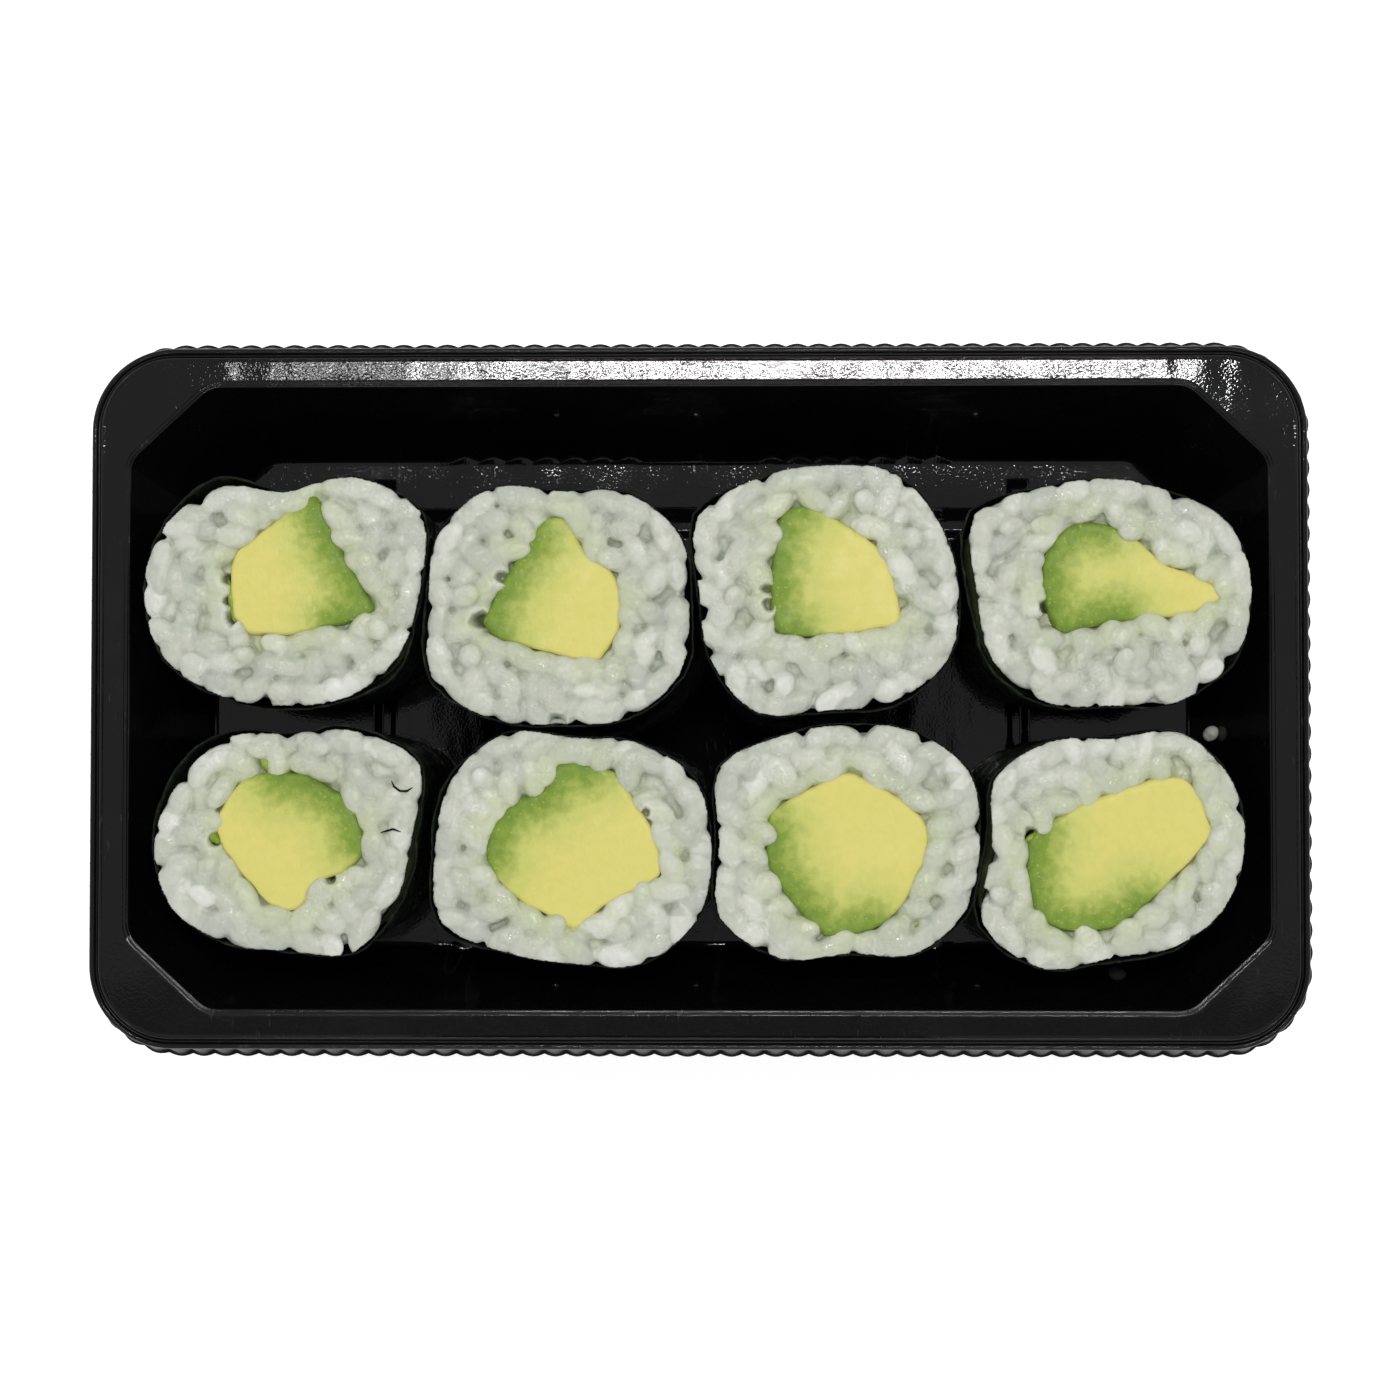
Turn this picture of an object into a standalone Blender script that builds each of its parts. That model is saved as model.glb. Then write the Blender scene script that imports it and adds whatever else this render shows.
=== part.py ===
"""Takeaway sushi tray: eight avocado rolls standing in a black moulded tray.

Frame: metres, +Z up. The origin is the middle of the footprint, on the surface the
tray stands on. +X runs along the tray's long side and +Y towards its back.
Sizes below are in millimetres and are turned into metres where a mesh is made.
"""
import math

import bmesh
import bpy
from mathutils import Vector, noise
from mathutils.geometry import interpolate_bezier

MM = 0.001

# --- tray ---------------------------------------------------------------------------
SHEET = 0.5                      # thickness of the moulded plastic sheet
SKIRT_HALF = (71.0, 41.5)        # outer edge of the skirt, half length and half width
SKIRT_FLARE = 2.0                # how far the skirt leans out, top to bottom
SKIRT_DROP = 6.4                 # height of the skirt
RIM_HEIGHT = 22.0                # top of the flat rim band
RIM_SHOULDER = 0.7               # step between the skirt's top and the band
CORNER_RADIUS = 8.8              # outer corners, at the skirt's top
MOUTH_HALF = (65.0, 35.5)        # opening at the foot of the rim's inner bevel
MOUTH_BEVEL = 0.7                # drop and run of the rim's inner bevel
MOUTH_CHAMFER = (9.0, 8.4)       # cut corners of the opening, along X and Y
MOUTH_ROUNDNESS = 0.12           # 0 is a straight cut and 1 a full arc
FLOOR_HALF = (59.0, 29.5)        # floor, where the walls meet it
FLOOR_CHAMFER = (7.0, 6.5)
FLOOR_ROUNDNESS = 0.4
FLOOR_TOP = 1.5                  # upper side of the raised floor
CHANNEL_TOP = 0.5                # upper side of the channels, which the tray stands on
LONG_CHANNEL_Y = (20.0, 20.8, 22.1, 23.5)      # edge, bottom, bottom, edge
CROSS_CHANNEL_X = (36.9, 37.7, 38.7, 39.5)
CHANNEL_END_X = (51.0, 52.0)     # where the long channels begin and stop rising to the floor
CHANNEL_END_Y = (26.0, 27.0)
FROM_MIDDLE = (-1.0, 0.0)        # start and full of a channel that begins at the middle
FOLD_SHARE = 0.4                 # share of the sheet's thickness past a folded edge
CORNER_STEPS = 6

# --- rolls --------------------------------------------------------------------------
ROLL_BASE = 1.8                  # underside of the rolls, just clear of the floor
ROLL_TOP = 25.5                  # knife cut on top
BASE_SQUEEZE = 0.89              # outline at the base against the one on top
BASE_DRAW = 0.935                # the bases also draw together, as the walls slope
SEAWEED = 0.3
GAP = 0.35                       # clearance between touching pieces
SEAWEED_RAG = 0.25               # how uneven the seaweed's upper edge is
RICE_RELIEF = 0.3                # how uneven the rice is
RICE_SHOULDER = 0.8              # rounding of the rice's upper edge
RICE_EDGE = 2.6                  # width of the rice's edge round the even middle of the cut
LUMP_SIZE = Vector((2.6, 2.6, 3.0))             # of the unevenness: about a grain
SEED_STEP = Vector((0.0, 0.0, 7.3))             # shifts the unevenness from roll to roll
BORE_OVERRUN = 1.0               # how far the avocado's bore is cut past the rice's ends
AVOCADO_SOFTENING = 0.4          # rounding of the avocado's cut ends
OUTLINE_STEPS = 3                # points made for each given point of an outline
CURVE_PULL = 1.0 / 6.0           # makes a curve through points out of Bezier pieces
MITRE_LIMIT = 0.6                # an offset outline cuts off corners sharper than this
LEVEL = 1e-6                     # heights nearer than this are the same

# Each roll: its middle on top; how far the wrapped roll reaches from there every
# 30 degrees, from +X towards +Y; and the corners of its avocado, from the middle.
ROLLS = (
    dict(middle=(-46.8, 12.0),
         reach=(15.6, 18.1, 15.3, 11.4, 14.1, 15.8, 16.4, 16.0, 14.2, 13.3, 14.3, 15.2),
         avocado=((-6.3, 2.9), (-3.1, 6.6), (2.4, 10.7), (3.8, 10.3), (5.6, 6.0),
                  (9.2, -0.2), (9.2, -3.0), (-4.4, -4.9))),
    dict(middle=(-15.4, 10.2),
         reach=(14.8, 16.0, 15.1, 13.3, 15.9, 16.5, 15.3, 17.1, 15.2, 13.6, 15.0, 15.8),
         avocado=((-1.8, 9.8), (0.8, 9.6), (2.8, 6.2), (4.9, 4.9), (6.7, 2.0),
                  (6.5, -2.7), (4.8, -5.4), (3.2, -6.3), (-6.0, -4.0), (-8.6, -2.4),
                  (-8.6, -0.8), (-5.2, 5.6))),
    dict(middle=(14.7, 11.8),
         reach=(15.2, 15.2, 15.8, 14.6, 15.3, 17.2, 14.7, 15.5, 16.1, 13.7, 14.7, 16.0),
         avocado=((-5.0, 9.0), (-2.5, 9.7), (0.2, 8.9), (4.6, 6.1), (6.9, 3.5),
                  (8.3, -1.8), (7.4, -3.9), (-3.7, -5.1), (-6.2, -3.1), (-6.1, 4.5))),
    dict(middle=(46.8, 11.7),
         reach=(16.2, 15.8, 13.5, 13.1, 14.2, 18.0, 15.4, 15.7, 14.7, 13.1, 14.7, 16.1),
         avocado=((-5.3, 7.2), (-1.7, 8.1), (3.0, 6.0), (6.5, 3.2), (10.4, 1.7),
                  (12.9, -0.3), (9.4, -2.3), (-1.0, -3.6), (-5.4, -4.7), (-7.1, -2.0),
                  (-7.6, 3.2))),
    dict(middle=(-46.3, -16.1),
         reach=(14.2, 17.4, 14.4, 12.1, 13.6, 14.2, 15.5, 15.7, 14.0, 13.0, 15.2, 14.4),
         avocado=((-5.1, 6.7), (0.5, 7.5), (3.2, 6.5), (7.2, 3.8), (8.6, -0.9),
                  (6.9, -3.4), (2.8, -5.3), (1.4, -7.7), (-1.6, -8.0), (-6.5, -2.6),
                  (-8.3, 0.8), (-7.9, 3.2))),
    dict(middle=(-13.9, -17.0),
         reach=(15.8, 15.9, 13.9, 12.5, 15.2, 16.1, 16.0, 17.6, 14.3, 13.5, 15.6, 16.5),
         avocado=((-2.0, 9.4), (0.5, 9.5), (4.2, 8.6), (6.2, 6.1), (8.9, 1.8),
                  (9.7, -3.4), (4.3, -6.2), (0.6, -9.1), (-1.2, -9.0), (-7.9, -4.8),
                  (-10.1, 0.2), (-7.2, 4.7), (-3.6, 6.4))),
    dict(middle=(17.2, -16.5),
         reach=(15.0, 16.0, 14.7, 13.5, 14.3, 17.2, 14.9, 17.2, 15.5, 12.8, 14.9, 15.5),
         avocado=((-8.3, 3.8), (-1.5, 7.5), (1.2, 7.4), (6.1, 4.6), (8.9, 1.6),
                  (8.4, -2.5), (5.4, -8.0), (2.2, -10.1), (-2.6, -10.9), (-7.8, -5.1),
                  (-9.3, -2.0), (-9.1, 2.6))),
    dict(middle=(47.0, -17.1),
         reach=(15.0, 15.6, 15.3, 12.5, 14.1, 15.7, 13.9, 17.4, 16.1, 12.6, 13.3, 14.4),
         avocado=((-8.9, 1.7), (-4.3, 4.4), (2.3, 7.0), (8.3, 7.8), (10.8, 3.2),
                  (10.7, 0.8), (6.4, -4.1), (1.2, -8.6), (-1.5, -9.3), (-5.7, -9.5),
                  (-8.9, -7.1), (-9.7, -1.2))),
)

# --- finishes: colour (linear), roughness ---------------------------------------------
BLACK_PLASTIC = ((0.012, 0.012, 0.013), 0.25)
COOKED_RICE = ((0.56, 0.58, 0.53), 0.35)
AVOCADO_FLESH = ((0.68, 0.64, 0.19), 0.40)
TOASTED_SEAWEED = ((0.010, 0.013, 0.009), 0.45)


def clear_scene():
    for old in list(bpy.data.objects):
        bpy.data.objects.remove(old, do_unlink=True)


def new_collection(name):
    collection = bpy.data.collections.new(name)
    bpy.context.scene.collection.children.link(collection)
    return collection


def new_material(name, finish):
    colour, roughness = finish
    material = bpy.data.materials.new(name)
    material.use_nodes = True
    shader = material.node_tree.nodes["Principled BSDF"]
    shader.inputs["Base Color"].default_value = (*colour, 1.0)
    shader.inputs["Roughness"].default_value = roughness
    shader.inputs["Metallic"].default_value = 0.0
    return material


def finish_object(name, mesh_builder, collection, material=None):
    """Make an object in metres out of a bmesh whose points are in millimetres."""
    bmesh.ops.recalc_face_normals(mesh_builder, faces=mesh_builder.faces)
    if mesh_builder.calc_volume(signed=True) < 0.0:
        bmesh.ops.reverse_faces(mesh_builder, faces=mesh_builder.faces)
    bmesh.ops.scale(mesh_builder, vec=(MM, MM, MM), verts=mesh_builder.verts)
    mesh = bpy.data.meshes.new(name)
    mesh_builder.to_mesh(mesh)
    mesh_builder.free()
    piece = bpy.data.objects.new(name, mesh)
    collection.objects.link(piece)
    if material:
        mesh.materials.append(material)
    return piece


def ring_edges(builder, ring):
    return [builder.edges.get((vert, ring[index - 1])) for index, vert in enumerate(ring)]


def loft(builder, rings):
    """Skin a row of rings with equal numbers of points: a circle drawn out ring by ring."""
    made = bmesh.ops.create_circle(builder, cap_ends=False, segments=len(rings[0]), radius=1.0)
    ring = made["verts"]
    for vert, point in zip(ring, rings[0]):
        vert.co = point
    for points in rings[1:]:
        made = bmesh.ops.extrude_edge_only(builder, edges=ring_edges(builder, ring))
        drawn = {item for item in made["geom"] if isinstance(item, bmesh.types.BMVert)}
        ring = [next(edge.other_vert(vert) for edge in vert.link_edges
                     if edge.other_vert(vert) in drawn) for vert in ring]
        for vert, point in zip(ring, points):
            vert.co = point


def close_ends(builder):
    """Put a face on each open end of a loft, and return the faces."""
    open_edges = [edge for edge in builder.edges if edge.is_boundary]
    return bmesh.ops.holes_fill(builder, edges=open_edges, sides=0)["faces"]


# --- outlines ---------------------------------------------------------------------------
def smooth_outline(corners, steps):
    """Run a smooth closed curve through the corners, with `steps` points to each."""
    corners = [Vector(corner) for corner in corners]
    count = len(corners)
    outline = []
    for index, start in enumerate(corners):
        before = corners[index - 1]
        end = corners[(index + 1) % count]
        after = corners[(index + 2) % count]
        leave = start + (end - before) * CURVE_PULL
        arrive = end - (after - start) * CURVE_PULL
        outline += interpolate_bezier(start, leave, arrive, end, steps + 1)[:-1]
    return [Vector((point.x, point.y)) for point in outline]


def offset_outline(outline, distance):
    """Move a closed anticlockwise outline outwards by `distance`."""
    moved = []
    count = len(outline)
    for index, point in enumerate(outline):
        into = (point - outline[index - 1]).normalized()
        out = (outline[(index + 1) % count] - point).normalized()
        normal_in = Vector((into.y, -into.x))
        normal_out = Vector((out.y, -out.x))
        bisector = (normal_in + normal_out).normalized()
        moved.append(point + bisector * (distance / max(MITRE_LIMIT, bisector.dot(normal_out))))
    return moved


def roll_outline(roll):
    """Outer face of a wrapped roll at its top, about the roll's middle."""
    turn = math.tau / len(roll["reach"])
    corners = [(reach * math.cos(turn * k), reach * math.sin(turn * k), 0.0)
               for k, reach in enumerate(roll["reach"])]
    return smooth_outline(corners, OUTLINE_STEPS)


def avocado_outline(roll):
    """Outline of a roll's avocado, turned anticlockwise."""
    corners = [(x, y, 0.0) for x, y in roll["avocado"]]
    return smooth_outline(corners, OUTLINE_STEPS)[::-1]


def place_outline(roll, outline, height):
    """Put an outline at a height: lower down it is smaller and nearer the tray's middle."""
    rise = (height - ROLL_BASE) / (ROLL_TOP - ROLL_BASE)
    scale = BASE_SQUEEZE + (1.0 - BASE_SQUEEZE) * rise
    draw = BASE_DRAW + (1.0 - BASE_DRAW) * rise
    middle = Vector(roll["middle"]) * draw
    return [Vector((middle.x + p.x * scale, middle.y + p.y * scale, height)) for p in outline]


def unevenness(point, seed):
    """Smooth noise between about -1 and 1, with bumps the size of a rice grain."""
    place = Vector(value / size for value, size in zip(point, LUMP_SIZE))
    return noise.noise(place + seed * SEED_STEP)


# --- tray ---------------------------------------------------------------------------------
def corner_points(half, cut, roundness):
    """One quarter of a ring, in the +X +Y corner: an arc (1) or a straight cut (0)."""
    points = []
    for step in range(CORNER_STEPS + 1):
        turn = step / CORNER_STEPS
        angle = turn * math.pi / 2
        arc = Vector((math.cos(angle) - 1.0, math.sin(angle) - 1.0))
        straight = Vector((-turn, turn - 1.0))
        corner = straight.lerp(arc, roundness)
        points.append(Vector((half[0] + cut[0] * corner.x, half[1] + cut[1] * corner.y)))
    return points


def tray_ring(half, cut, roundness, height):
    """A closed ring round the tray, with the quarter mirrored into the other corners."""
    quarter = corner_points(half, cut, roundness)
    ring = []
    for sign_x, sign_y in ((1, 1), (-1, 1), (-1, -1), (1, -1)):
        part = quarter if sign_x == sign_y else quarter[::-1]
        ring += [Vector((sign_x * p.x, sign_y * p.y, height)) for p in part]
    return ring


def inset(half, distance):
    return (half[0] - distance, half[1] - distance)


def tray_rings(thickness):
    """Rings from the skirt's lower edge to the edge of the floor, on one side of the sheet.

    A thickness of 0 gives the upper side, and the sheet's own gives the underside.
    """
    turned = FOLD_SHARE * thickness
    shoulder = inset(SKIRT_HALF, SKIRT_FLARE)
    shoulder_height = RIM_HEIGHT - RIM_SHOULDER
    band_outer = inset(shoulder, RIM_SHOULDER)
    band_inner = inset(MOUTH_HALF, -MOUTH_BEVEL)
    skirt_radius = CORNER_RADIUS + SKIRT_FLARE - thickness
    shoulder_radius = CORNER_RADIUS - thickness
    band_radius = CORNER_RADIUS - RIM_SHOULDER - turned
    return (
        tray_ring(inset(SKIRT_HALF, thickness), (skirt_radius,) * 2, 1.0,
                  shoulder_height - SKIRT_DROP),
        tray_ring(inset(shoulder, thickness), (shoulder_radius,) * 2, 1.0,
                  shoulder_height - turned),
        tray_ring(inset(band_outer, turned), (band_radius,) * 2, 1.0, RIM_HEIGHT - thickness),
        tray_ring(inset(band_inner, -turned), MOUTH_CHAMFER, MOUTH_ROUNDNESS,
                  RIM_HEIGHT - thickness),
        tray_ring(inset(MOUTH_HALF, -thickness), MOUTH_CHAMFER, MOUTH_ROUNDNESS,
                  RIM_HEIGHT - MOUTH_BEVEL - turned),
        tray_ring(inset(FLOOR_HALF, -turned), FLOOR_CHAMFER, FLOOR_ROUNDNESS,
                  FLOOR_TOP - thickness),
    )


def trapezium(distance, start, full, full_end, end):
    """Rise from 0 at `start` to 1 at `full`, and fall from `full_end` to 0 at `end`."""
    if distance <= start or distance >= end:
        return 0.0
    if distance < full:
        return (distance - start) / (full - start)
    if distance > full_end:
        return (end - distance) / (end - full_end)
    return 1.0


def channel_depth(x, y):
    """Share of the channels' full depth at a point of the floor."""
    along = trapezium(abs(y), *LONG_CHANNEL_Y) * trapezium(abs(x), *FROM_MIDDLE, *CHANNEL_END_X)
    across = trapezium(abs(x), *CROSS_CHANNEL_X) * trapezium(abs(y), *FROM_MIDDLE, *CHANNEL_END_Y)
    return max(along, across)


def cut_floor_channels(builder, floor_face):
    """Score the floor along the channels' edges and press the channels down."""
    cuts = [((0, 1, 0), side * y) for y in LONG_CHANNEL_Y + CHANNEL_END_Y for side in (-1, 1)]
    cuts += [((1, 0, 0), side * x) for x in CROSS_CHANNEL_X + CHANNEL_END_X for side in (-1, 1)]
    floor = [floor_face]
    for normal, distance in cuts:
        edges = {edge for face in floor for edge in face.edges}
        verts = {vert for face in floor for vert in face.verts}
        made = bmesh.ops.bisect_plane(builder, geom=floor + list(edges) + list(verts),
                                      plane_co=Vector(normal) * distance, plane_no=normal)
        floor = [item for item in made["geom"] if isinstance(item, bmesh.types.BMFace)]
    for vert in {vert for face in floor for vert in face.verts}:
        vert.co.z -= channel_depth(vert.co.x, vert.co.y) * (FLOOR_TOP - CHANNEL_TOP)


def build_tray(collection):
    """One moulded sheet: skirt, rim, chamfered mouth, sloping walls, channelled floor."""
    builder = bmesh.new()
    loft(builder, tray_rings(0.0)[::-1] + tray_rings(SHEET))
    for floor_face in close_ends(builder):
        cut_floor_channels(builder, floor_face)
    bmesh.ops.triangulate(builder, faces=[f for f in builder.faces if len(f.verts) > 4])
    return finish_object("tray", builder, collection, new_material("tray", BLACK_PLASTIC))


# --- rolls --------------------------------------------------------------------------------
def build_seaweed(roll, number, collection, material):
    """The wrap: an open tube with a ragged upper edge, thickened inwards."""
    outline = roll_outline(roll)
    top = place_outline(roll, outline, ROLL_TOP - SEAWEED_RAG)
    for point in top:
        point.z += SEAWEED_RAG * unevenness(point, number)
    builder = bmesh.new()
    loft(builder, (place_outline(roll, outline, ROLL_BASE), top))
    wrap = finish_object(f"nori_{number}", builder, collection, material)
    wall = wrap.modifiers.new("Sheet", "SOLIDIFY")
    wall.thickness = SEAWEED * MM
    wall.offset = -1.0
    return wrap


def build_rice(roll, number, collection, cutters, material):
    """Packed rice out to the wrap: lumpy cut face on top, and a bore for the avocado."""
    outer = offset_outline(roll_outline(roll), -(SEAWEED + GAP))
    shoulder = offset_outline(outer, -RICE_SHOULDER)
    heart = offset_outline(outer, -RICE_EDGE)
    rings = [place_outline(roll, outer, ROLL_BASE),
             place_outline(roll, outer, ROLL_TOP - RICE_SHOULDER),
             place_outline(roll, shoulder, ROLL_TOP),
             place_outline(roll, heart, ROLL_TOP)]
    for ring in rings[2:]:
        for point in ring:
            point.z += RICE_RELIEF * unevenness(point, number)
    builder = bmesh.new()
    loft(builder, rings)
    close_ends(builder)
    rice = finish_object(f"rice_{number}", builder, collection, material)
    bore = build_bore(roll, number, cutters)
    cut = rice.modifiers.new("Avocado bore", "BOOLEAN")
    cut.operation = "DIFFERENCE"
    cut.solver = "EXACT"
    cut.object = bore
    return rice


def prism(roll, outline, bottom, top):
    """A closed straight-sided block between two heights, drawn in towards its base."""
    builder = bmesh.new()
    loft(builder, (place_outline(roll, outline, bottom), place_outline(roll, outline, top)))
    close_ends(builder)
    return builder


def build_bore(roll, number, cutters):
    """Cutter that keeps the rice clear of the avocado all round."""
    outline = offset_outline(avocado_outline(roll), GAP)
    builder = prism(roll, outline, ROLL_BASE - BORE_OVERRUN, ROLL_TOP + BORE_OVERRUN)
    cutter = finish_object(f"bore_{number}", builder, cutters)
    cutter.hide_render = True
    cutter.display_type = "WIRE"
    return cutter


def build_avocado(roll, number, collection, material):
    """Strip of avocado that runs through the roll, with softened ends."""
    builder = prism(roll, avocado_outline(roll), ROLL_BASE, ROLL_TOP)
    ends = [edge for edge in builder.edges
            if abs(edge.verts[0].co.z - edge.verts[1].co.z) < LEVEL]
    bmesh.ops.bevel(builder, geom=ends, offset=AVOCADO_SOFTENING, offset_type="OFFSET", segments=1,
                    profile=0.5, affect="EDGES", clamp_overlap=True, material=-1)
    return finish_object(f"avocado_{number}", builder, collection, material)


def build_rolls(collection, cutters):
    seaweed = new_material("nori", TOASTED_SEAWEED)
    rice = new_material("rice", COOKED_RICE)
    avocado = new_material("avocado", AVOCADO_FLESH)
    for number, roll in enumerate(ROLLS, start=1):
        build_seaweed(roll, number, collection, seaweed)
        build_rice(roll, number, collection, cutters, rice)
        build_avocado(roll, number, collection, avocado)


def main():
    clear_scene()
    collection = new_collection("takeaway_sushi_tray")
    cutters = new_collection("cutters")
    build_tray(collection)
    build_rolls(collection, cutters)


main()
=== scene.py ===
"""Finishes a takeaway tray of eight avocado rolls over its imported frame, with the stage they stand on."""

import math

import bmesh
import bpy
import numpy as np
from bpy.props import FloatProperty, FloatVectorProperty, IntProperty, PointerProperty
from mathutils import Matrix, Vector, noise
from mathutils.bvhtree import BVHTree
from mathutils.kdtree import KDTree


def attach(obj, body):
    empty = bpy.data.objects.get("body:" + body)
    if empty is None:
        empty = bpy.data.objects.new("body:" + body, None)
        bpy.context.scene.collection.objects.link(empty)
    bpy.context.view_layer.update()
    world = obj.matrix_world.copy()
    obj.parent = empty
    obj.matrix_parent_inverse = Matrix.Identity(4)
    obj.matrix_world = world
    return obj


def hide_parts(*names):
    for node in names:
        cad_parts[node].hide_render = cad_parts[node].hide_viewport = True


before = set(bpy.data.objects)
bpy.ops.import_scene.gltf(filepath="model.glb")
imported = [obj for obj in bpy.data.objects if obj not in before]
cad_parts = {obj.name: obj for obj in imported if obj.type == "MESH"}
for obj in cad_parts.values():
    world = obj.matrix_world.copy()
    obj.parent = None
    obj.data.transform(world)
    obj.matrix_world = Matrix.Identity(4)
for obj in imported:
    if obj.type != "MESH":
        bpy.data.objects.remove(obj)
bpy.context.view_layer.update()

bl_info = {
    "name": "Tray of Avocado Rolls",
    "version": (1, 0, 0),
    "blender": (4, 5, 0),
    "location": "View3D > Sidebar > Rolls",
    "description": "Finishes a takeaway tray, its eight rolls and the stage round them",
    "category": "Object",
}

# Everything is modelled in millimetres and scaled to metres at the end.
MM = 0.001
ROLL_NUMBERS = range(1, 9)
OUTLINE_POINTS = 120            # points of an outline read from a node
READ_MARGIN = 1.5               # how far inside a node's ends its outline is read
REACH = 60.0                    # rays start this far out
RICE_INSET = 0.25               # from the outer side of the seaweed to the rice
UP = Vector((0.0, 0.0, 1.0))

# Hollows in the rice of each roll: across, along, radius and depth, from the roll's middle.
HOLLOWS = {
    1: ((-6.4, 1.4, 0.60, 2.6), (-5.9, -1.0, 0.50, 2.6), (-5.4, -3.0, 0.60, 2.6)),
    2: ((-9.0, -1.2, 0.90, 3.0), (-10.2, -1.6, 0.80, 2.4), (-6.6, 3.1, 0.60, 2.6), (-0.2, -13.2, 0.80, 2.6)),
    3: ((-6.6, -1.8, 0.60, 2.6), (-6.5, 0.4, 0.50, 2.4)),
    4: ((-7.4, -1.6, 0.60, 2.6),),
    5: ((5.5, -5.5, 0.50, 2.4), (-7.5, 0.6, 0.60, 2.4)),
    6: ((7.4, 3.4, 0.45, 2.2),),
    7: ((-1.4, -8.4, 0.60, 2.4),),
    8: ((-8.8, 1.2, 0.60, 2.6),),
}
# Where each avocado piece is green, which was under its skin: first and last bearing in degrees.
GREEN_SIDES = {1: (-55, 75), 2: (110, 215), 3: (125, 235), 4: (120, 250),
               5: (5, 95), 6: (80, 185), 7: (165, 285), 8: (165, 290)}
# Where the seaweed stands off the rice: bearing, spread in degrees and distance.
LOOSE_SEAWEED = {
    1: ((125, 24, 0.9), (-38, 18, 0.9), (-95, 20, 0.4)), 2: ((-165, 20, 0.4), (-20, 25, 0.5)),
    3: ((150, 16, 0.4), (-60, 20, 0.4)), 4: ((172, 30, 0.9), (-140, 20, 0.5)),
    5: ((140, 30, 1.0), (-12, 26, 0.7), (60, 16, 0.4)), 6: ((165, 22, 0.5), (-150, 16, 0.4)),
    7: ((185, 22, 0.4), (-30, 18, 0.4)), 8: ((190, 26, 0.7), (-80, 22, 0.5)),
}
# Slivers of avocado in the rice: roll, across, along, bearing, length and width.
SLIVERS = (
    (5, -2.7, 9.4, 115, 3.4, 1.5), (5, 6.8, 5.0, 60, 3.6, 1.8), (5, -8.4, 0.6, 150, 2.2, 1.5),
    (6, -1.0, 10.6, 100, 3.0, 1.6), (7, -0.8, -9.0, 20, 5.0, 1.7), (7, 8.8, -9.8, 160, 2.4, 1.0),
    (1, -6.0, -1.4, 100, 5.6, 0.9), (4, -8.0, 1.4, 95, 4.6, 1.2), (2, 5.4, -1.8, 70, 3.0, 1.3),
    (3, -3.0, -4.8, 10, 2.6, 1.0), (8, -1.6, -7.2, 20, 3.6, 1.2), (1, 1.0, -9.2, 30, 1.4, 0.7),
    (8, -8.6, 1.4, 20, 2.6, 1.1), (5, 7.4, -8.4, 20, 0.9, 0.7),
)
# Loose grains: across, along, height, bearing and rise in degrees.
LOOSE_GRAINS = ((60.4, -3.9, 8.4, 42, 30), (49.4, -30.2, 7.6, 12, 10))
# Threads of seaweed on the rice: roll, and points across and along.
SEAWEED_THREADS = (
    (5, ((11.8, 7.0), (12.1, 6.3), (12.8, 5.8), (13.6, 5.8), (14.2, 6.2))),
    (5, ((10.6, 1.1), (11.3, 1.3), (12.0, 1.5), (12.9, 1.2))),
)


def millimetres(name, description, default):
    return FloatProperty(name=name, description=description, default=default * MM,
                         subtype="DISTANCE", unit="LENGTH", precision=5)


def colour(name, description, default):
    return FloatVectorProperty(name=name, description=description, default=default, size=3,
                               min=0.0, max=1.0, subtype="COLOR")


class TrayLook(bpy.types.PropertyGroup):
    sheet: millimetres("Sheet", "Thickness of the moulded plastic", 0.45)
    flutes: IntProperty(name="Flutes", description="Flutes round the skirt, a multiple of four",
                        default=164, min=40)
    flute_depth: millimetres("Flute Depth", "Depth of the skirt's flutes", 0.45)
    wall_pitch: millimetres("Wall Pitch", "Width of one flute of the long walls", 3.33)
    wall_depth: millimetres("Wall Depth", "Depth of the long walls' flutes", 0.6)
    plastic: colour("Plastic", "Black plastic", (0.0030, 0.0030, 0.0032))
    scuff: colour("Scuff", "Scuffed black plastic", (0.016, 0.016, 0.017))


class SeaweedLook(bpy.types.PropertyGroup):
    sheet: millimetres("Sheet", "Thickness of the seaweed", 0.22)
    pucker: millimetres("Pucker", "How far the rice pushes the seaweed out", 0.22)
    rag: millimetres("Rag", "Unevenness of the upper edge", 0.45)
    dark: colour("Dark", "Toasted seaweed", (0.0045, 0.0060, 0.0040))
    green: colour("Green", "Thin seaweed", (0.016, 0.024, 0.012))


class RiceLook(bpy.types.PropertyGroup):
    length: millimetres("Length", "Length of a cooked grain", 5.1)
    width: millimetres("Width", "Width of a cooked grain", 3.1)
    cell: millimetres("Cell", "Size of the mesh that joins the grains", 0.23)
    body: colour("Body", "Cooked grain", (0.530, 0.550, 0.465))
    # Milky and clear grains also carry painted highlight on crests and painted shade in creases.
    milky_and_highlight: colour("Milky", "Milky heart of a grain", (0.720, 0.730, 0.670))
    clear: colour("Clear", "Clear wet grain", (0.440, 0.465, 0.420))
    stained: colour("Stained", "Rice stained by avocado", (0.520, 0.570, 0.345))
    # Painted shade: the dark olive of rice deep below its cut, in hollows and in creases.
    hollow: colour("Hollow", "Bottom of a hollow", (0.120, 0.150, 0.065))


class AvocadoLook(bpy.types.PropertyGroup):
    cell: millimetres("Cell", "Size of the mesh", 0.36)
    heart: colour("Heart", "Flesh by the stone", (0.700, 0.640, 0.180))
    flesh: colour("Flesh", "Middle of the flesh", (0.560, 0.580, 0.150))
    green: colour("Green", "Flesh near the skin", (0.205, 0.312, 0.033))
    # The rind colour is also painted shade on the flesh below the top.
    rind_and_shade: colour("Rind", "Flesh that was under the skin", (0.100, 0.182, 0.017))


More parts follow.
